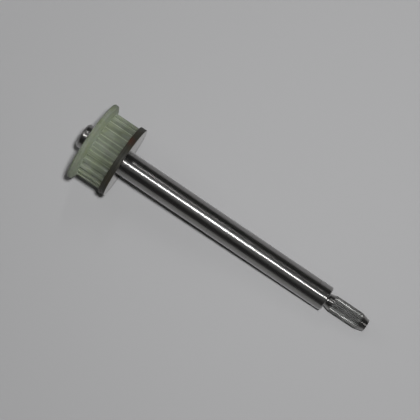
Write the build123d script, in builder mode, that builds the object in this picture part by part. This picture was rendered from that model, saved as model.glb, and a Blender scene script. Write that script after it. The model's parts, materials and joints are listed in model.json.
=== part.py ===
from build123d import *
from math import atan2, cos, pi, radians, sin, tan
import os

# Drive shaft of a belt-driven food processor, lying on a table as it comes to rest.
# A ground steel shaft carries a moulded toothed belt pulley and a steel flange disc,
# and ends in a straight-knurled tip that drives the tool. All lengths are millimetres.

# Shaft, turned and ground from one bar, from its stub end to its knurled tip
shaft_diameter = 14.0
stub_length = 5.5
stub_chamfer = 1.0
seat_diameter = 14.8
seat_plain_length = 1.5
seat_groove_count = 24
seat_groove_depth = 0.35
journal_length = 127.9
shoulder_chamfer = 0.6
neck_diameter = 7.2
neck_length = 1.1
ramp_length = 3.1
knurl_diameter = 9.2
knurl_length = 15.9
knurl_count = 28
knurl_depth = 0.38
groove_angle = 105.0
tip_cone_length = 4.9
tip_end_diameter = 6.6
tip_break = 0.3
centre_hole_diameter = 3.2
centre_hole_angle = 60.0
centre_pilot_diameter = 1.5
centre_pilot_depth = 3.2

# Belt pulley, moulded in one piece with the flange that keeps the belt on
tooth_count = 24
belt_pitch = 5.08
pitch_line_offset = 0.254
groove_depth = 1.5
groove_bottom_width = 1.32
groove_side_angle = 25.0
tooth_tip_round = 0.3
tooth_phase = 2.1
belt_zone_width = 14.2
flange_height = 3.75
rim_thickness = 2.4
rim_break = 0.5
cone_length = 1.6
rim_wall = 3.9
hub_wall = 3.5
recess_depth = 1.8
recess_draft = 0.6
recess_edge_break = 0.3

# Flange disc, a steel ring pressed on against the pulley's end
disc_diameter = 41.2
disc_thickness = 3.6
disc_edge_break = 0.3

# Stations along the axis, measured from the stub end
pulley_start = stub_length
cone_start = pulley_start + rim_thickness
tooth_start = cone_start + cone_length
disc_start = tooth_start + belt_zone_width
disc_end = disc_start + disc_thickness
shoulder = disc_end + journal_length
ramp_start = shoulder + neck_length
knurl_start = ramp_start + ramp_length
tip_cone_start = knurl_start + knurl_length
shaft_length = tip_cone_start + tip_cone_length

# Radii that follow from the driving sizes
shaft_radius = shaft_diameter / 2
seat_radius = seat_diameter / 2
neck_radius = neck_diameter / 2
knurl_radius = knurl_diameter / 2
tip_end_radius = tip_end_diameter / 2
tooth_radius = tooth_count * belt_pitch / (2 * pi) - pitch_line_offset
groove_root_radius = tooth_radius - groove_depth
flange_radius = tooth_radius + flange_height
hub_radius = seat_radius + hub_wall
recess_radius = flange_radius - rim_wall
disc_radius = disc_diameter / 2


# How it lies: on the pulley's rim or the disc, and on the shoulder's corner or the end of the knurl.
# Each contact is a corner, given by its station and its radius.
def lie(left, right):
    """Tilt of the axis, and height of the stub end, with the table touching both corners."""
    slope = atan2(left[1] - right[1], right[0] - left[0])
    return slope, left[0] * sin(slope) + left[1] * cos(slope)


def table_radius(lying):
    """Radius at which the table passes the middle of the journal."""
    slope, height = lying
    return (height - (disc_end + journal_length / 2) * sin(slope)) / cos(slope)


rim_contact = (cone_start - rim_break, flange_radius)
disc_contact = (disc_end - disc_edge_break, disc_radius)
shoulder_contact = (shoulder - shoulder_chamfer, shaft_radius)
knurl_contact = (tip_cone_start, knurl_radius)
tilt, stub_height = max(
    (lie(left, right) for left in (rim_contact, disc_contact) for right in (shoulder_contact, knurl_contact)),
    key=table_radius,
)

# The lying shaft's box, from the stub's lower corner to the tip's upper corner, is centred over the origin
low_x = -(shaft_radius - stub_chamfer) * sin(tilt)
high_x = shaft_length * cos(tilt) + (tip_end_radius - tip_break) * sin(tilt)
stub_end = Vector(-(low_x + high_x) / 2, 0, stub_height)
along = Vector(cos(tilt), 0, -sin(tilt))
outward = Vector(sin(tilt), 0, cos(tilt))
shaft_axis = Axis(stub_end, along)

# Profiles that are turned round the axis are drawn with x along it and y as the radius
profile_plane = Plane(origin=stub_end, x_dir=along, z_dir=(0, -1, 0))


def section(station):
    """Plane across the axis at a station, with its x pointing up from the axis."""
    return Plane(origin=stub_end + along * station, x_dir=outward, z_dir=along)


def v_groove(depth):
    """Straight groove seen along the axis, with its root at the origin and its mouth towards x."""
    half_width = 2 * depth * tan(radians(groove_angle / 2))
    Polygon((0, 0), (2 * depth, half_width), (2 * depth, -half_width), align=None)


# Grooves of the seat, which the moulded pulley fills, so that it can't turn on the shaft
with BuildSketch(section(pulley_start + seat_plain_length)) as seat_grooves:
    with PolarLocations(seat_radius - seat_groove_depth, seat_groove_count):
        v_groove(seat_groove_depth)
seat_groove_length = disc_start - pulley_start - 2 * seat_plain_length

# Shaft: the turned blank, its grooved seat, the straight knurl and the centre holes.
# The knurl's grooves run out on the ramp behind them and on the tip's cone.
with BuildPart() as shaft:
    with BuildSketch(profile_plane) as blank:
        with BuildLine():
            Polyline(
                (0, 0),
                (0, shaft_radius),
                (pulley_start, shaft_radius),
                (pulley_start, seat_radius),
                (disc_end, seat_radius),
                (disc_end, shaft_radius),
                (shoulder, shaft_radius),
                (shoulder, neck_radius),
                (ramp_start, neck_radius),
                (knurl_start, knurl_radius),
                (tip_cone_start, knurl_radius),
                (shaft_length, tip_end_radius),
                (shaft_length, 0),
                close=True,
            )
        make_face()
        chamfer(blank.vertices().sort_by_distance((0, shaft_radius))[0], stub_chamfer)
        chamfer(blank.vertices().sort_by_distance((shoulder, shaft_radius))[0], shoulder_chamfer)
        chamfer(blank.vertices().sort_by_distance((shaft_length, tip_end_radius))[0], tip_break)
    revolve(axis=shaft_axis)

    extrude(seat_grooves.sketch, amount=seat_groove_length, mode=Mode.SUBTRACT)

    with BuildSketch(section(ramp_start)):
        with PolarLocations(knurl_radius - knurl_depth, knurl_count):
            v_groove(knurl_depth)
    extrude(amount=shaft_length - ramp_start, mode=Mode.SUBTRACT)

    for end_plane in (Plane(stub_end, z_dir=-along), section(shaft_length)):
        with Locations(end_plane):
            CounterSinkHole(
                centre_pilot_diameter / 2, centre_hole_diameter / 2, centre_pilot_depth, centre_hole_angle
            )
shaft.part.label = "shaft"

# Belt pulley: the toothed drum, then the flange with its cone and the shallow recess of its outer face
with BuildPart() as belt_pulley:
    with BuildSketch(section(tooth_start)) as drum:
        Circle(tooth_radius)
        groove_slope = tan(radians(groove_side_angle))
        half_bottom = groove_bottom_width / 2
        half_top = half_bottom + 2 * groove_depth * groove_slope
        with PolarLocations(groove_root_radius, tooth_count, start_angle=tooth_phase + 180 / tooth_count):
            Polygon(
                (0, -half_bottom),
                (2 * groove_depth, -half_top),
                (2 * groove_depth, half_top),
                (0, half_bottom),
                align=None,
                mode=Mode.SUBTRACT,
            )
        tip_corners = drum.vertices().sort_by_distance((0, 0))[-2 * tooth_count:]
        fillet(tip_corners, tooth_tip_round)
        Circle(seat_radius, mode=Mode.SUBTRACT)
    extrude(amount=belt_zone_width)

    with BuildSketch(profile_plane) as flange:
        recess_floor = pulley_start + recess_depth
        with BuildLine():
            Polyline(
                (pulley_start, seat_radius),
                (pulley_start, hub_radius),
                (recess_floor, hub_radius + recess_draft),
                (recess_floor, recess_radius - recess_draft),
                (pulley_start, recess_radius),
                (pulley_start, flange_radius),
                (cone_start, flange_radius),
                (tooth_start, tooth_radius),
                (tooth_start, seat_radius),
                close=True,
            )
        make_face()
        chamfer(flange.vertices().group_by(Axis.Y)[-1], rim_break)
        recess_corners = flange.vertices().group_by(Axis.X)[0].sort_by(Axis.Y)[1:3]
        chamfer(recess_corners, recess_edge_break)
    revolve(axis=shaft_axis)
    extrude(seat_grooves.sketch, amount=seat_groove_length)
belt_pulley.part.label = "belt_pulley"

# Flange disc: a plain ring with broken edges, face to face with the pulley
with BuildPart() as flange_disc:
    with BuildSketch(section(disc_start)):
        Circle(disc_radius)
        Circle(seat_radius, mode=Mode.SUBTRACT)
    extrude(amount=disc_thickness)
    outer_edges = flange_disc.edges().filter_by(GeomType.CIRCLE).group_by(SortBy.RADIUS)[-1]
    chamfer(outer_edges, disc_edge_break)
flange_disc.part.label = "flange_disc"

os.makedirs("parts", exist_ok=True)
for piece in (shaft, belt_pulley, flange_disc):
    export_step(piece.part, f"parts/{piece.part.label}.step")
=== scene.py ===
import json
from math import atan2, cos, pi, radians, sin, tan

import bpy
from mathutils import Matrix, Vector


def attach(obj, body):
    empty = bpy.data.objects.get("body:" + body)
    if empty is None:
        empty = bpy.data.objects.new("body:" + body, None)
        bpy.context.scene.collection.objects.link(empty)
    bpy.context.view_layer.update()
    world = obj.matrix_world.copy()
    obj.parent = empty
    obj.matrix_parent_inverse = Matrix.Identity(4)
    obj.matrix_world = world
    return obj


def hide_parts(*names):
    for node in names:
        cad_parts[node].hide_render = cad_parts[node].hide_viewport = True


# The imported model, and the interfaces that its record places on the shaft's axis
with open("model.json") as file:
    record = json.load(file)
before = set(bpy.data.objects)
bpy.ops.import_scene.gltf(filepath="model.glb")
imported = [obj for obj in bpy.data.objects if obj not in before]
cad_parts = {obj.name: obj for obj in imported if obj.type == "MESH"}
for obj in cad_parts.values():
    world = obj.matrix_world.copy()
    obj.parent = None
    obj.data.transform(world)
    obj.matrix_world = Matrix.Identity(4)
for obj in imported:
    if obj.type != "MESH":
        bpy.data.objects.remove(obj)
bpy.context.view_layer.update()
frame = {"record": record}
mounts = {mount["name"]: mount for mount in frame["record"]["mounts"]}
mm = 0.001


# Shaft: one bar of carbon steel, turned to its steps, with its 14 mm journal ground bright.
# A straight knurl is rolled into its tip, where a tool is pressed on, and both of its ends keep
# the centre holes that it was turned and ground between.
journal = mounts["bearing_journal"]
stub = mounts["stub_journal"]
shaft_radius = journal["dims"]["r_mm"]
stub_chamfer = 1.0
stub_length = stub_chamfer + stub["dims"]["length_mm"]
seat_radius = 7.4
seat_end = 27.3
shoulder_chamfer = 0.6
shoulder = seat_end + journal["dims"]["length_mm"] + shoulder_chamfer
neck_radius = 3.6
neck_length = 1.1
ramp_start = shoulder + neck_length
ramp_length = 3.1
ramp_foot_length = 0.2
ramp_foot_height = 0.15
knurl_radius = mounts["knurled_tip"]["dims"]["r_mm"]
knurl_start = ramp_start + ramp_length
knurl_length = 15.9
knurl_end = knurl_start + knurl_length
knurl_count = 28
knurl_depth = 0.36
knurl_half_angle = radians(52.5)
tip_end_radius = 3.3
tip_cone_length = 4.9
shaft_length = knurl_end + tip_cone_length
centre_hole_radius = 1.6
centre_hole_half_angle = radians(30)
centre_pilot_radius = 0.75
centre_pilot_depth = 3.2
shaft_steps = 8 * knurl_count

# The axis runs down to the knurled tip, because the pulley's rim lifts the stub end off the table
along = Vector(journal["axis"])
tilt = atan2(-along.z, along.x)
stub_end = Vector(stub["pos_m"]) - along * (stub_chamfer + stub["dims"]["length_mm"] / 2) * mm


def select_only(piece):
    """Makes a piece the only one selected."""
    bpy.ops.object.select_all(action="DESELECT")
    piece.select_set(True)
    bpy.context.view_layer.objects.active = piece


def select_points(piece, wanted):
    """Selects, in edit mode, only the vertices whose place in mm passes a test."""
    bpy.ops.mesh.select_mode(type="VERT")
    bpy.ops.mesh.select_all(action="DESELECT")
    bpy.ops.object.mode_set(mode="OBJECT")
    for vertex in piece.data.vertices:
        vertex.select = wanted(vertex.co / mm)
    bpy.ops.object.mode_set(mode="EDIT")


def draw_line(name, corners):
    """Draws edges between corners, each (x, y, z, round) in mm, and rounds the corners that ask for it."""
    bpy.ops.object.select_all(action="DESELECT")
    bpy.ops.mesh.primitive_plane_add(size=mm)
    line = bpy.context.object
    line.name = name
    line.data.name = name
    bpy.ops.object.mode_set(mode="EDIT")
    bpy.ops.mesh.select_all(action="SELECT")
    bpy.ops.mesh.merge(type="CENTER")
    here = Vector(corners[0][:3])
    bpy.ops.transform.translate(value=here * mm)
    for corner in corners[1:]:
        there = Vector(corner[:3])
        bpy.ops.mesh.extrude_vertices_move(TRANSFORM_OT_translate={"value": (there - here) * mm})
        here = there
    for x, y, z, size in corners:
        if size:
            select_points(line, lambda point: (point - Vector((x, y, z))).length < 0.001)
            bpy.ops.mesh.bevel(offset=size * mm, segments=4, affect="VERTICES")
    bpy.ops.object.mode_set(mode="OBJECT")
    return line


def close_mesh():
    """Merges the doubles of a closed mesh in edit mode and turns its faces outwards."""
    bpy.ops.mesh.select_all(action="SELECT")
    bpy.ops.mesh.remove_doubles(threshold=0.0005 * mm)
    bpy.ops.mesh.normals_make_consistent(inside=False)
    bpy.ops.object.mode_set(mode="OBJECT")


def turn(name, outline, steps):
    """Turns an outline of (station, radius, round) in mm once round the X axis into a closed piece."""
    piece = draw_line(name, [(station, 0, radius, size) for station, radius, size in outline])
    bpy.ops.object.mode_set(mode="EDIT")
    bpy.ops.mesh.select_all(action="SELECT")
    bpy.ops.mesh.spin(steps=steps, angle=2 * pi, center=(0, 0, 0), axis=(1, 0, 0))
    close_mesh()
    return piece


def combine(piece, other, operation):
    """Joins another piece to this one, or cuts it away from it, and removes it."""
    modifier = piece.modifiers.new(operation.title(), "BOOLEAN")
    modifier.operation = operation
    modifier.object = other
    modifier.solver = "EXACT"
    modifier.material_mode = "TRANSFER"
    select_only(piece)
    bpy.ops.object.modifier_apply(modifier=modifier.name)
    bpy.data.objects.remove(other)


def lay_down(piece, smooth_angle):
    """Smooths a piece made along X and lays it on the shaft's axis, with its object left at the origin."""
    select_only(piece)
    bpy.ops.object.shade_smooth_by_angle(angle=radians(smooth_angle))
    piece.location = stub_end
    piece.rotation_euler = (0, tilt, 0)
    bpy.ops.object.transform_apply(location=True, rotation=True, scale=True)


def linear(code):
    """Linear colour for a node, from an sRGB colour written as #8090a0."""
    parts = [int(code[start:start + 2], 16) / 255 for start in (1, 3, 5)]
    return [part / 12.92 if part <= 0.04045 else ((part + 0.055) / 1.055) ** 2.4 for part in parts] + [1.0]


def add_node(material, kind, inputs=None, **settings):
    """Adds a node with its settings, and fills its inputs with values or with other nodes' outputs."""
    tree = material.node_tree
    node = tree.nodes.new(kind)
    for name, value in settings.items():
        setattr(node, name, value)
    for name, value in (inputs or {}).items():
        if isinstance(value, bpy.types.NodeSocket):
            tree.links.new(value, node.inputs[name])
        else:
            node.inputs[name].default_value = value
    return node


def new_material(name):
    """Makes a material, and gives the place of a point in mm along the shaft's axis (x) and across it."""
    material = bpy.data.materials.new(name)
    material.use_nodes = True
    material.node_tree.nodes.clear()
    coordinates = add_node(material, "ShaderNodeTexCoord")
    on_axis = add_node(
        material,
        "ShaderNodeMapping",
        {
            "Vector": coordinates.outputs["Object"],
            "Location": stub_end,
            "Rotation": (0, tilt, 0),
            "Scale": (mm, mm, mm),
        },
        vector_type="TEXTURE",
    )
    return material, on_axis.outputs["Vector"]


def radius_at(material, place):
    """Gives the distance of a point from the shaft's axis in mm."""
    across = add_node(material, "ShaderNodeVectorMath", {0: place, 1: (0, 1, 1)}, operation="MULTIPLY")
    distance = add_node(
        material, "ShaderNodeVectorMath", {0: across.outputs["Vector"]}, operation="LENGTH"
    )
    return distance.outputs["Value"]


def set_stops(node, stops):
    """Gives a colour ramp its stops, as (position, colour) pairs."""
    elements = node.color_ramp.elements
    elements[0].position, elements[0].color = stops[0]
    elements[1].position, elements[1].color = stops[-1]
    for position, colour in stops[1:-1]:
        elements.new(position).color = colour
    return node.outputs["Color"]


# Ground steel: a bright metal with fine marks that run round the shaft, left by the grinding wheel.
# The marks are 0.02 mm apart and are drawn 0.25 mm apart, so that they show in the render.
mark_spacing = 0.25
mark_length = 14.0
oil_film_size = 9.0
ground_steel, place = new_material("ground_steel")
marks_place = add_node(
    ground_steel,
    "ShaderNodeMapping",
    {"Vector": place, "Scale": (1 / mark_spacing, 1 / mark_length, 1 / mark_length)},
)
marks = add_node(
    ground_steel,
    "ShaderNodeTexNoise",
    {"Vector": marks_place.outputs["Vector"], "Scale": 1.0, "Detail": 3.0, "Roughness": 0.6},
)
film = add_node(
    ground_steel, "ShaderNodeTexNoise", {"Vector": place, "Scale": 1 / oil_film_size, "Detail": 4.0}
)
steel_colour = add_node(ground_steel, "ShaderNodeValToRGB", {"Fac": film.outputs["Fac"]})
set_stops(steel_colour, [(0.3, linear("#7f7d7b")), (0.7, linear("#888785"))])
steel_roughness = add_node(
    ground_steel,
    "ShaderNodeMapRange",
    {"Value": marks.outputs["Fac"], "From Min": 0.3, "From Max": 0.7, "To Min": 0.272, "To Max": 0.288},
)
steel_bump = add_node(
    ground_steel,
    "ShaderNodeBump",
    {"Height": marks.outputs["Fac"], "Strength": 0.02, "Distance": 0.004 * mm},
)
surface = add_node(ground_steel, "ShaderNodeNewGeometry")
round_the_axis = add_node(
    ground_steel,
    "ShaderNodeVectorMath",
    {0: along, 1: surface.outputs["Normal"]},
    operation="CROSS_PRODUCT",
)
steel_shader = add_node(
    ground_steel,
    "ShaderNodeBsdfPrincipled",
    {
        "Base Color": steel_colour.outputs["Color"],
        "Metallic": 1.0,
        "Roughness": steel_roughness.outputs["Result"],
        "Anisotropic": 1.0,
        "Anisotropic Rotation": 0.25,
        "Tangent": round_the_axis.outputs["Vector"],
        "Normal": steel_bump.outputs["Normal"],
        "Coat Weight": 1.0,
        "Coat Roughness": 0.34,
        "Coat IOR": 1.75,
    },
)
add_node(ground_steel, "ShaderNodeOutputMaterial", {"Surface": steel_shader.outputs["BSDF"]})

# Rolled steel: the knurl's flanks, duller than the ground journal and streaked along their length by the
# tool that is pushed on and off, and darker towards their roots
crest_wear = 0.05
scuff_length = 3.0
scuff_width = 0.5
rolled_steel, place = new_material("rolled_steel")
root_to_crest = add_node(
    rolled_steel,
    "ShaderNodeMapRange",
    {
        "Value": radius_at(rolled_steel, place),
        "From Min": knurl_radius - knurl_depth,
        "From Max": knurl_radius - crest_wear,
    },
)
rolled_colour = add_node(rolled_steel, "ShaderNodeValToRGB", {"Fac": root_to_crest.outputs["Result"]})
set_stops(rolled_colour, [(0.0, linear("#464645")), (0.4, linear("#787877")), (1.0, linear("#8a8b89"))])
scuff_place = add_node(
    rolled_steel,
    "ShaderNodeMapping",
    {"Vector": place, "Scale": (1 / scuff_length, 1 / scuff_width, 1 / scuff_width)},
)
scuffs = add_node(
    rolled_steel,
    "ShaderNodeTexNoise",
    {"Vector": scuff_place.outputs["Vector"], "Scale": 1.0, "Detail": 3.0},
)
rolled_tone = add_node(
    rolled_steel,
    "ShaderNodeMapRange",
    {"Value": scuffs.outputs["Fac"], "From Min": 0.35, "From Max": 0.65, "To Min": 0.5, "To Max": 1.5},
)
scuffed_steel = add_node(
    rolled_steel,
    "ShaderNodeMix",
    {0: 1.0, 6: rolled_colour.outputs["Color"], 7: rolled_tone.outputs["Result"]},
    data_type="RGBA",
    blend_type="MULTIPLY",
)
rolled_roughness = add_node(
    rolled_steel,
    "ShaderNodeMapRange",
    {"Value": scuffs.outputs["Fac"], "From Min": 0.3, "From Max": 0.7, "To Min": 0.27, "To Max": 0.37},
)
rolled_bump = add_node(
    rolled_steel,
    "ShaderNodeBump",
    {"Height": scuffs.outputs["Fac"], "Strength": 0.5, "Distance": 0.03 * mm},
)
rolled_shader = add_node(
    rolled_steel,
    "ShaderNodeBsdfPrincipled",
    {
        "Base Color": scuffed_steel.outputs[2],
        "Metallic": 0.65,
        "Specular IOR Level": 0.1,
        "Specular Tint": (0.3, 0.3, 0.3, 1.0),
        "Roughness": rolled_roughness.outputs["Result"],
        "Normal": rolled_bump.outputs["Normal"],
    },
)
add_node(rolled_steel, "ShaderNodeOutputMaterial", {"Surface": rolled_shader.outputs["BSDF"]})

# The outline of the turned bar, in which the seat under the pulley and the disc is wider than the journal
hole_depth = (centre_hole_radius - centre_pilot_radius) / tan(centre_hole_half_angle)
shaft = turn("ground_shaft", [
    (centre_pilot_depth, 0, 0),
    (centre_pilot_depth, centre_pilot_radius, 0),
    (hole_depth, centre_pilot_radius, 0),
    (0, centre_hole_radius, 0),
    (0, shaft_radius - stub_chamfer, 0.15),
    (stub_chamfer, shaft_radius, 0.25),
    (stub_length, shaft_radius, 0),
    (stub_length, seat_radius, 0),
    (seat_end, seat_radius, 0),
    (seat_end, shaft_radius, 0),
    (shoulder - shoulder_chamfer, shaft_radius, 0.15),
    (shoulder, shaft_radius - shoulder_chamfer, 0.15),
    (shoulder, neck_radius, 0.5),
    (ramp_start, neck_radius, 0.4),
    (ramp_start + ramp_foot_length, neck_radius + ramp_foot_height, 0.1),
    (knurl_start, knurl_radius, 0.5),
    (knurl_end, knurl_radius, 0.4),
    (shaft_length, tip_end_radius, 0.4),
    (shaft_length, centre_hole_radius, 0),
    (shaft_length - hole_depth, centre_pilot_radius, 0),
    (shaft_length - centre_pilot_depth, centre_pilot_radius, 0),
    (shaft_length - centre_pilot_depth, 0, 0),
], shaft_steps)
shaft.data.materials.append(ground_steel)

# The knurl's grooves are cut by a four-sided bar with one edge down, repeated round the axis.
# The bar is slightly higher than a groove, so that its widest part stays clear of the crests.
bar_start = ramp_start + 0.1
bar_end = shaft_length + 1.0
bar_height = 1.03 * knurl_depth
bpy.ops.object.select_all(action="DESELECT")
bpy.ops.mesh.primitive_cylinder_add(
    vertices=4,
    radius=bar_height * mm,
    depth=(bar_end - bar_start) * mm,
    location=((bar_start + bar_end) / 2 * mm, 0, (knurl_radius - knurl_depth + bar_height) * mm),
    rotation=(0, pi / 2, 0),
)
bars = bpy.context.object
bpy.ops.object.transform_apply(location=True, rotation=True, scale=True)
bars.data.materials.append(rolled_steel)
bpy.ops.object.mode_set(mode="EDIT")
bpy.ops.mesh.select_all(action="SELECT")
bpy.ops.transform.resize(value=(1, tan(knurl_half_angle), 1))
bpy.ops.mesh.spin(
    steps=knurl_count, dupli=True, angle=2 * pi, center=(0, 0, 0), axis=(1, 0, 0)
)
close_mesh()
combine(shaft, bars, "DIFFERENCE")
lay_down(shaft, smooth_angle=25)
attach(shaft, "root")
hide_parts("shaft")


# Belt pulley: natural nylon, moulded onto the shaft in one piece. Its 24 teeth carry an XL timing belt,
# and the flange on its stub side, with a cone up to its rim and a shallow recess in its outer face,
# keeps the belt on.
belt_seat = mounts["belt_seat"]["dims"]
tooth_count = 24
pitch_angle = 360 / tooth_count
tooth_phase = 2.1
tooth_radius = belt_seat["r_mm"]
groove_depth = 1.5
groove_half_bottom = 0.66
groove_side_angle = radians(25)
groove_half_top = groove_half_bottom + groove_depth * tan(groove_side_angle)
groove_round = 0.3
rim_thickness = 2.4
flange_cone_length = 1.6
flange_height = 3.75
flange_radius = tooth_radius + flange_height
rim_round = 0.8
rim_wall = 3.9
hub_wall = 3.5
recess_radius = flange_radius - rim_wall
hub_radius = seat_radius + hub_wall
recess_depth = 1.8
recess_draft = 0.6
flange_start = stub_length
recess_floor = flange_start + recess_depth
tooth_start = flange_start + rim_thickness + flange_cone_length
disc_start = tooth_start + belt_seat["length_mm"]
wheel_steps = 8 * tooth_count

# Natural nylon: uncoloured, so a little light passes through it, and yellowed to a pale green by age.
# This is its clean colour, under painted shade, painted light and painted highlights and a tone along the
# axis.
cloud_size = 7.0
streak_length = 4.5
streak_width = 0.9
moulding_grain = 0.8
natural_nylon, place = new_material("natural_nylon")
split_place = add_node(natural_nylon, "ShaderNodeSeparateXYZ", {"Vector": place})
clouds = add_node(
    natural_nylon, "ShaderNodeTexNoise", {"Vector": place, "Scale": 1 / cloud_size, "Detail": 3.0}
)
nylon_colour = add_node(natural_nylon, "ShaderNodeValToRGB", {"Fac": clouds.outputs["Fac"]})
set_stops(
    nylon_colour, [(0.3, linear("#cfdbb7")), (0.5, linear("#d3dfc5")), (0.7, linear("#dae3ce"))]
)
streak_place = add_node(
    natural_nylon,
    "ShaderNodeMapping",
    {"Vector": place, "Scale": (1 / streak_length, 1 / streak_width, 1 / streak_width)},
)
streaks = add_node(
    natural_nylon,
    "ShaderNodeTexNoise",
    {"Vector": streak_place.outputs["Vector"], "Scale": 1.0, "Detail": 3.0, "Roughness": 0.6},
)
streak_tone = add_node(
    natural_nylon,
    "ShaderNodeMapRange",
    {"Value": streaks.outputs["Fac"], "From Min": 0.3, "From Max": 0.7, "To Min": 0.9, "To Max": 1.1},
)
streaked_colour = add_node(
    natural_nylon,
    "ShaderNodeMix",
    {0: 1.0, 6: nylon_colour.outputs["Color"], 7: streak_tone.outputs["Result"]},
    data_type="RGBA",
    blend_type="MULTIPLY",
)

# Painted shade: the teeth that face up, which the lamp above lights most, are painted darker to even out
# the drum
surface = add_node(natural_nylon, "ShaderNodeNewGeometry")
facing_up = add_node(
    natural_nylon,
    "ShaderNodeVectorMath",
    {0: surface.outputs["Normal"], 1: (0, 0, 1)},
    operation="DOT_PRODUCT",
)
painted_shade_facing_up = add_node(
    natural_nylon,
    "ShaderNodeMapRange",
    {"Value": facing_up.outputs["Value"], "From Min": 0.3, "From Max": 1.0, "To Min": 1.0, "To Max": 0.5},
)

# Painted highlights: pale lines on the corners of the teeth, brightest on the corner that faces the far
# side.
# A tooth's place is its angle round the axis, in pitches from the middle of a groove.
angle_here = add_node(
    natural_nylon,
    "ShaderNodeMath",
    {0: split_place.outputs["Y"], 1: split_place.outputs["Z"]},
    operation="ARCTAN2",
)
pitches = add_node(
    natural_nylon,
    "ShaderNodeMath",
    {
        0: angle_here.outputs["Value"],
        1: -tooth_count / (2 * pi),
        2: tooth_count + 0.5 - tooth_phase / pitch_angle,
    },
    operation="MULTIPLY_ADD",
)
in_pitch = add_node(natural_nylon, "ShaderNodeMath", {0: pitches.outputs["Value"]}, operation="FRACT")

# The painted light differs between the drum's halves. On the far half, a wider painted highlight lies only
# on the corners that face the far side; on the near half, the highlights are faint and the groove walls get
# painted light.
bright_corner_at = 0.277
painted_highlight_tones = []
for highlight_width, bright_corner_tone, other_corner, other_wall in (
    (0.03, "#e0e0e0", "#d6d6d6", "#d6d6d6"),
    (0.15, "#ffffff", "#bdbdbd", "#bdbdbd"),
):
    ramp = add_node(natural_nylon, "ShaderNodeValToRGB", {"Fac": in_pitch.outputs["Value"]})
    painted_highlight_tones.append(set_stops(ramp, [
        (part, linear(tone))
        for part, tone in (
            (0.14, "#bdbdbd"),
            (bright_corner_at - highlight_width / 2 - 0.012, "#bfbfbf"),
            (bright_corner_at - highlight_width / 2, bright_corner_tone),
            (bright_corner_at + highlight_width / 2, bright_corner_tone),
            (bright_corner_at + highlight_width / 2 + 0.02, "#bdbdbd"),
            (0.69, "#bdbdbd"),
            (0.71, other_corner),
            (0.735, other_corner),
            (0.75, other_wall),
            (0.88, other_wall),
            (0.97, "#bdbdbd"),
        )
    ]))
far_half = add_node(
    natural_nylon,
    "ShaderNodeMapRange",
    {"Value": split_place.outputs["Y"], "From Min": 4.0, "From Max": 11.0},
)
teeth_painted_highlights = add_node(
    natural_nylon,
    "ShaderNodeMix",
    {0: far_half.outputs["Result"], 6: painted_highlight_tones[0], 7: painted_highlight_tones[1]},
    data_type="RGBA",
)
# The teeth's painted highlights, darkened by their painted shade
teeth_painted_light_and_shade = add_node(
    natural_nylon,
    "ShaderNodeMix",
    {0: 1.0, 6: teeth_painted_highlights.outputs[2], 7: painted_shade_facing_up.outputs["Result"]},
    data_type="RGBA",
    blend_type="MULTIPLY",
)

# Painted light: the flange's outer face, which the lamps hardly reach, is painted lighter than its rim and
# cone
facing_out = add_node(
    natural_nylon,
    "ShaderNodeVectorMath",
    {0: surface.outputs["Normal"], 1: along},
    operation="DOT_PRODUCT",
)
flange_painted_light = add_node(
    natural_nylon,
    "ShaderNodeMapRange",
    {
        "Value": facing_out.outputs["Value"],
        "From Min": -0.98,
        "From Max": -0.8,
        "To Min": 1.0,
        "To Max": 0.48,
    },
)
on_teeth = add_node(
    natural_nylon,
    "ShaderNodeMath",
    {0: split_place.outputs["X"], 1: tooth_start + 0.1},
    operation="GREATER_THAN",
)
# The flange takes its painted light and the teeth theirs, with painted highlights and shade
painted_light_tone = add_node(
    natural_nylon,
    "ShaderNodeMix",
    {0: on_teeth.outputs["Value"], 6: flange_painted_light.outputs["Result"], 7: teeth_painted_light_and_shade.outputs[2]},
    data_type="RGBA",
)

# Along the axis, the cone gets painted light up from the flange's rim, and the drum darkens towards the
# steel disc
along_drum = add_node(
    natural_nylon,
    "ShaderNodeMapRange",
    {"Value": split_place.outputs["X"], "From Min": flange_start, "From Max": disc_start},
)
station_tone = add_node(natural_nylon, "ShaderNodeValToRGB", {"Fac": along_drum.outputs["Result"]})
set_stops(station_tone, [
    ((station - flange_start) / (disc_start - flange_start), linear(tone))
    for station, tone in (
        (flange_start, "#bcbcbc"),
        (flange_start + 2.3, "#cdcdcd"),
        (tooth_start, "#ffffff"),
        (tooth_start + 4.5, "#f3f3f3"),
        (tooth_start + 7.0, "#e4e4e4"),
        (tooth_start + 8.5, "#d1d1d1"),
        (disc_start, "#bdbdbd"),
    )
])
# The painted light and shade, and the tone along the axis, tint the clean colour
painted_light_and_station_tone = add_node(
    natural_nylon,
    "ShaderNodeMix",
    {0: 1.0, 6: painted_light_tone.outputs[2], 7: station_tone.outputs["Color"]},
    data_type="RGBA",
    blend_type="MULTIPLY",
)
nylon_with_painted_light = add_node(
    natural_nylon,
    "ShaderNodeMix",
    {0: 1.0, 6: streaked_colour.outputs[2], 7: painted_light_and_station_tone.outputs[2]},
    data_type="RGBA",
    blend_type="MULTIPLY",
)
nylon_grain = add_node(
    natural_nylon, "ShaderNodeTexNoise", {"Vector": place, "Scale": 1 / moulding_grain, "Detail": 3.0}
)
nylon_bump = add_node(
    natural_nylon,
    "ShaderNodeBump",
    {"Height": nylon_grain.outputs["Fac"], "Strength": 0.3, "Distance": 0.02 * mm},
)
nylon_roughness = add_node(
    natural_nylon,
    "ShaderNodeMapRange",
    {"Value": clouds.outputs["Fac"], "From Min": 0.3, "From Max": 0.7, "To Min": 0.6, "To Max": 0.72},
)
nylon_shader = add_node(
    natural_nylon,
    "ShaderNodeBsdfPrincipled",
    {
        "Base Color": nylon_with_painted_light.outputs[2],
        "Roughness": nylon_roughness.outputs["Result"],
        "IOR": 1.53,
        "Specular IOR Level": 0.2,
        "Subsurface Weight": 1.0,
        "Subsurface Radius": (1.0, 1.0, 0.8),
        "Subsurface Scale": 2.5 * mm,
        "Normal": nylon_bump.outputs["Normal"],
    },
)
add_node(natural_nylon, "ShaderNodeOutputMaterial", {"Surface": nylon_shader.outputs["BSDF"]})

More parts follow.
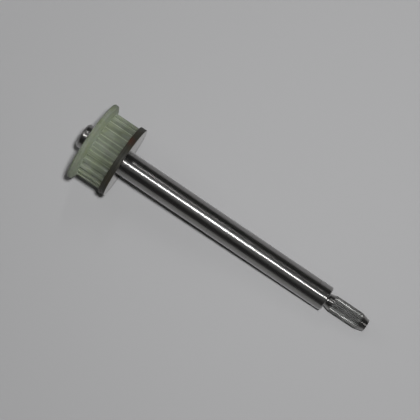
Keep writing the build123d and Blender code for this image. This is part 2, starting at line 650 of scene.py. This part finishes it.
# The flange, with its hub and recess
pulley = turn("belt_wheel", [
    (flange_start, seat_radius, 0),
    (flange_start, hub_radius, 0.4),
    (recess_floor, hub_radius + recess_draft, 0.5),
    (recess_floor, recess_radius - recess_draft, 0.5),
    (flange_start, recess_radius, 0.4),
    (flange_start, flange_radius, rim_round),
    (flange_start + rim_thickness, flange_radius, rim_round),
    (tooth_start, tooth_radius, 0),
    (tooth_start, seat_radius, 0),
    (flange_start, seat_radius, 0),
], wheel_steps)
pulley.data.materials.append(natural_nylon)

# One groove, from the middle of one tooth to the middle of the next, repeated round the axis and made
# solid. The toothed drum reaches into the flange, which it is then joined to.
drum_start = tooth_start - 0.8
half_pitch = pi / tooth_count
groove_turn = half_pitch + radians(tooth_phase)
land_middle = (tooth_radius * sin(half_pitch), tooth_radius * cos(half_pitch))
groove_root = tooth_radius - groove_depth
teeth = draw_line("teeth", [
    (drum_start, -land_middle[0], land_middle[1], 0),
    (drum_start, -groove_half_top, groove_root + groove_depth, groove_round),
    (drum_start, -groove_half_bottom, groove_root, groove_round),
    (drum_start, groove_half_bottom, groove_root, groove_round),
    (drum_start, groove_half_top, groove_root + groove_depth, groove_round),
    (drum_start, land_middle[0], land_middle[1], 0),
])
bpy.ops.object.mode_set(mode="EDIT")
bpy.ops.mesh.select_all(action="SELECT")
bpy.ops.mesh.spin(
    steps=tooth_count, dupli=True, angle=2 * pi, center=(0, 0, 0), axis=(1, 0, 0)
)
bpy.ops.mesh.select_all(action="SELECT")
bpy.ops.mesh.remove_doubles(threshold=0.0005 * mm)
bpy.ops.mesh.edge_face_add()
bpy.ops.mesh.extrude_region_move(
    TRANSFORM_OT_translate={"value": ((disc_start - drum_start) * mm, 0, 0)}
)
close_mesh()
teeth.rotation_euler = (groove_turn, 0, 0)
select_only(teeth)
bpy.ops.object.transform_apply(location=True, rotation=True, scale=True)
teeth.data.materials.append(natural_nylon)
combine(pulley, teeth, "UNION")

# The bore is cut right through, by a long cylinder that is centred on the stub's end
bore_length = 80.0
bpy.ops.object.select_all(action="DESELECT")
bpy.ops.mesh.primitive_cylinder_add(
    vertices=wheel_steps,
    radius=seat_radius * mm,
    depth=bore_length * mm,
    rotation=(0, pi / 2, 0),
)
bore = bpy.context.object
bpy.ops.object.transform_apply(location=True, rotation=True, scale=True)
bore.data.materials.append(natural_nylon)
combine(pulley, bore, "DIFFERENCE")
lay_down(pulley, smooth_angle=30)
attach(pulley, "root")
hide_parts("belt_pulley")


# Flange disc: a ring turned from steel plate and pressed onto the shaft's seat against the pulley.
# Its faces are bright from turning, and its rim is dark with burnt-on oil.
disc_end = seat_end
disc_radius = 20.6
disc_edge_round = 0.3
rim_line_at = (disc_start + disc_end) / 2
rim_line_half_width = 0.25
rim_line_depth = 0.18

# Turned steel: bright faces with fine rings from the lathe, 0.1 mm apart and drawn 0.25 mm apart, so that
# they show. From its broken edges outwards, the disc is dark and dull with oil.
ring_spacing = 0.25
stain_size = 4.0
turned_steel, place = new_material("turned_steel")
radius_here = radius_at(turned_steel, place)
oil = add_node(
    turned_steel,
    "ShaderNodeMapRange",
    {"Value": radius_here, "From Min": disc_radius - 0.35, "From Max": disc_radius - 0.15},
)
stains = add_node(
    turned_steel, "ShaderNodeTexNoise", {"Vector": place, "Scale": 1 / stain_size, "Detail": 4.0}
)
oil_colour = add_node(turned_steel, "ShaderNodeValToRGB", {"Fac": stains.outputs["Fac"]})
set_stops(oil_colour, [(0.35, linear("#262622")), (0.55, linear("#2c2b24")), (0.75, linear("#312c25"))])

# A stain of rust has broken out on the rim beside the pulley, and fades 4 mm from its middle
rust_middle = (disc_start + 0.6, 11.0, 17.4)
rust_radius = 4.0
from_rust = add_node(
    turned_steel, "ShaderNodeVectorMath", {0: place, 1: rust_middle}, operation="DISTANCE"
)
rust = add_node(
    turned_steel,
    "ShaderNodeMapRange",
    {
        "Value": from_rust.outputs["Value"],
        "From Min": 0.5,
        "From Max": rust_radius,
        "To Min": 1.0,
        "To Max": 0.0,
    },
)
rim_colour = add_node(
    turned_steel,
    "ShaderNodeMix",
    {0: rust.outputs["Result"], 6: oil_colour.outputs["Color"], 7: linear("#38241c")},
    data_type="RGBA",
)
disc_colour = add_node(
    turned_steel,
    "ShaderNodeMix",
    {0: oil.outputs["Result"], 6: linear("#b4b2ad"), 7: rim_colour.outputs[2]},
    data_type="RGBA",
)
disc_metal = add_node(
    turned_steel, "ShaderNodeMapRange", {"Value": oil.outputs["Result"], "To Min": 1.0, "To Max": 0.0}
)
disc_roughness = add_node(
    turned_steel, "ShaderNodeMapRange", {"Value": oil.outputs["Result"], "To Min": 0.15, "To Max": 0.5}
)
rings = add_node(
    turned_steel,
    "ShaderNodeTexNoise",
    {"W": radius_here, "Scale": 1 / ring_spacing, "Detail": 2.0},
    noise_dimensions="1D",
)
disc_bump = add_node(
    turned_steel,
    "ShaderNodeBump",
    {"Height": rings.outputs["Fac"], "Strength": 0.4, "Distance": 0.01 * mm},
)
disc_shader = add_node(
    turned_steel,
    "ShaderNodeBsdfPrincipled",
    {
        "Base Color": disc_colour.outputs[2],
        "Metallic": disc_metal.outputs["Result"],
        "Roughness": disc_roughness.outputs["Result"],
        "Specular IOR Level": 0.25,
        "Normal": disc_bump.outputs["Normal"],
    },
)
add_node(turned_steel, "ShaderNodeOutputMaterial", {"Surface": disc_shader.outputs["BSDF"]})

# The ring, with a fine line turned round the middle of its rim
disc = turn("steel_disc", [
    (disc_start, seat_radius, 0),
    (disc_start, disc_radius, disc_edge_round),
    (rim_line_at - rim_line_half_width, disc_radius, 0),
    (rim_line_at, disc_radius - rim_line_depth, 0),
    (rim_line_at + rim_line_half_width, disc_radius, 0),
    (disc_end, disc_radius, disc_edge_round),
    (disc_end, seat_radius, 0),
    (disc_start, seat_radius, 0),
], wheel_steps)
disc.data.materials.append(turned_steel)
lay_down(disc, smooth_angle=30)
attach(disc, "root")
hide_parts("flange_disc")


# Floor: a wide sheet of matt paper, pale grey. Away from the shaft it glows a little, which makes up for
# the light that falls off there. The camera sees the glow on all sides, and metal mirrors it only on the
# near side.
floor_radius = 2500 * mm
glow_start = 100 * mm
glow_full = 950 * mm
glow_level = 0.35
side_border = 100 * mm
paper = bpy.data.materials.new("matt_paper")
paper.use_nodes = True
paper.node_tree.nodes.clear()
paper_place = add_node(paper, "ShaderNodeTexCoord")
far_off = add_node(
    paper, "ShaderNodeVectorMath", {0: paper_place.outputs["Object"]}, operation="LENGTH"
)
far_glow = add_node(
    paper,
    "ShaderNodeMapRange",
    {
        "Value": far_off.outputs["Value"],
        "From Min": glow_start,
        "From Max": glow_full,
        "To Min": 0.0,
        "To Max": glow_level,
    },
    interpolation_type="SMOOTHSTEP",
)
paper_side = add_node(paper, "ShaderNodeSeparateXYZ", {"Vector": paper_place.outputs["Object"]})
near_side = add_node(
    paper,
    "ShaderNodeMapRange",
    {
        "Value": paper_side.outputs["Y"],
        "From Min": -side_border,
        "From Max": side_border,
        "To Min": 1.0,
        "To Max": 0.0,
    },
)
rays = add_node(paper, "ShaderNodeLightPath")
in_metal = add_node(
    paper,
    "ShaderNodeMath",
    {0: rays.outputs["Is Glossy Ray"], 1: near_side.outputs["Result"]},
    operation="MULTIPLY",
)
seen = add_node(
    paper,
    "ShaderNodeMath",
    {0: rays.outputs["Is Camera Ray"], 1: in_metal.outputs["Value"]},
    operation="MAXIMUM",
)
paper_glow = add_node(
    paper,
    "ShaderNodeMath",
    {0: far_glow.outputs["Result"], 1: seen.outputs["Value"]},
    operation="MULTIPLY",
)
paper_shader = add_node(
    paper,
    "ShaderNodeBsdfPrincipled",
    {
        "Base Color": linear("#a6a6a7"),
        "Roughness": 0.95,
        "Specular IOR Level": 0.1,
        "Emission Color": (1.0, 1.0, 1.0, 1.0),
        "Emission Strength": paper_glow.outputs["Value"],
    },
)
add_node(paper, "ShaderNodeOutputMaterial", {"Surface": paper_shader.outputs["BSDF"]})
bpy.ops.object.select_all(action="DESELECT")
bpy.ops.mesh.primitive_circle_add(vertices=96, radius=floor_radius, fill_type="NGON", location=(0, 0, 0))
floor = bpy.context.object
floor.name = "paper_floor"
floor.data.materials.append(paper)


# Camera: a long lens straight above the shaft's tip half, aimed near the shaft's middle and turned so that
# the shaft runs down to the right
camera_place = Vector((80.0, -0.16, 747.3)) * mm
camera_aim = Vector((-13.64, 4.59, 0)) * mm
picture_up = Vector((-0.5624, 0.8268, 0))
camera_data = bpy.data.cameras.new("camera")
camera_data.lens = 120
camera_data.sensor_width = 36
camera = bpy.data.objects.new("camera", camera_data)
bpy.context.scene.collection.objects.link(camera)
backwards = (camera_place - camera_aim).normalized()
right = picture_up.cross(backwards).normalized()
upwards = backwards.cross(right)
camera.rotation_euler = Matrix((right, upwards, backwards)).transposed().to_euler()
camera.location = camera_place
bpy.context.scene.camera = camera


# Light: a soft key lamp above the shaft, a bright strip and a weak one that show in its steel, a weak lamp
# from the stub's side, and a dim room. The key is in two parts, one that lights matt things and one that
# metal mirrors, so that the steel's bright line isn't burnt out.
def power_to_light(level, distance):
    """Power of a lamp that lights a white sheet, a distance in mm away, to a level at which 1 is white."""
    return level * (pi * distance * mm) ** 2


def power_to_show(level, width, length):
    """Power of a lamp, with its width and length in mm, that is mirrored at a level at which 1 is white."""
    return level * pi * width * mm * length * mm


def add_lamp(name, place, aim, size, power, shape="DISK", length=None, mirrored=True, lights=True):
    """Adds an area lamp at a place in mm, turned to its aim. It is mirrored in metal, or it lights matt
    things, or both."""
    lamp_data = bpy.data.lights.new(name, "AREA")
    lamp_data.shape = shape
    lamp_data.size = size * mm
    if length:
        lamp_data.size_y = length * mm
    lamp_data.energy = power
    lamp = bpy.data.objects.new(name, lamp_data)
    bpy.context.scene.collection.objects.link(lamp)
    lamp.location = Vector(place) * mm
    lamp.rotation_euler = (Vector(place) - Vector(aim)).to_track_quat("Z", "Y").to_euler()
    lamp.visible_glossy = mirrored
    lamp.visible_diffuse = lights


key_place = Vector((96, 74, 747))
key_power = power_to_light(0.93, key_place.length)
add_lamp("key_lamp", key_place, (0, 0, 0), 60, key_power, mirrored=False)
core_place = Vector((96, 38, 747))
core_power = power_to_light(0.39, core_place.length)
add_lamp("key_core", core_place, (0, 0, 0), 40, core_power, lights=False)
far_power = power_to_show(11.0, 60, 250)
add_lamp("far_strip", (-200, 548, 720), (-30, 0, 15), 60, far_power, "RECTANGLE", 250)
near_power = power_to_show(0.9, 70, 250)
add_lamp("near_strip", (190, -360, 720), (40, 0, 15), 70, near_power, "RECTANGLE", 250)
fill_power = power_to_light(0.06, 900)
add_lamp("fill_lamp", (-800, 150, 480), (-60, 0, 15), 300, fill_power)

# The room is brighter in a band along the horizon, which stands higher on the near side than on the far
# side. The camera sees one pale tone instead.
band_level = 0.35
band_height = 0.06
band_slope = 0.1
room_level = 0.026
seen_level = 0.36
world = bpy.data.worlds.new("dim_room")
world.use_nodes = True
world.node_tree.nodes.clear()
direction = add_node(world, "ShaderNodeTexCoord")
height = add_node(
    world,
    "ShaderNodeVectorMath",
    {0: direction.outputs["Generated"], 1: (0, band_slope, 1)},
    operation="DOT_PRODUCT",
)
room_light = add_node(
    world,
    "ShaderNodeMapRange",
    {
        "Value": height.outputs["Value"],
        "From Min": 0.0,
        "From Max": band_height,
        "To Min": band_level,
        "To Max": room_level,
    },
)
rays = add_node(world, "ShaderNodeLightPath")
wall = add_node(
    world,
    "ShaderNodeMix",
    {0: rays.outputs["Is Camera Ray"], 2: room_light.outputs["Result"], 3: seen_level},
    data_type="FLOAT",
)
room = add_node(
    world, "ShaderNodeBackground", {"Color": (1.0, 1.0, 1.0, 1.0), "Strength": wall.outputs[0]}
)
add_node(world, "ShaderNodeOutputWorld", {"Surface": room.outputs["Background"]})
bpy.context.scene.world = world

bpy.context.scene.view_settings.view_transform = "Standard"
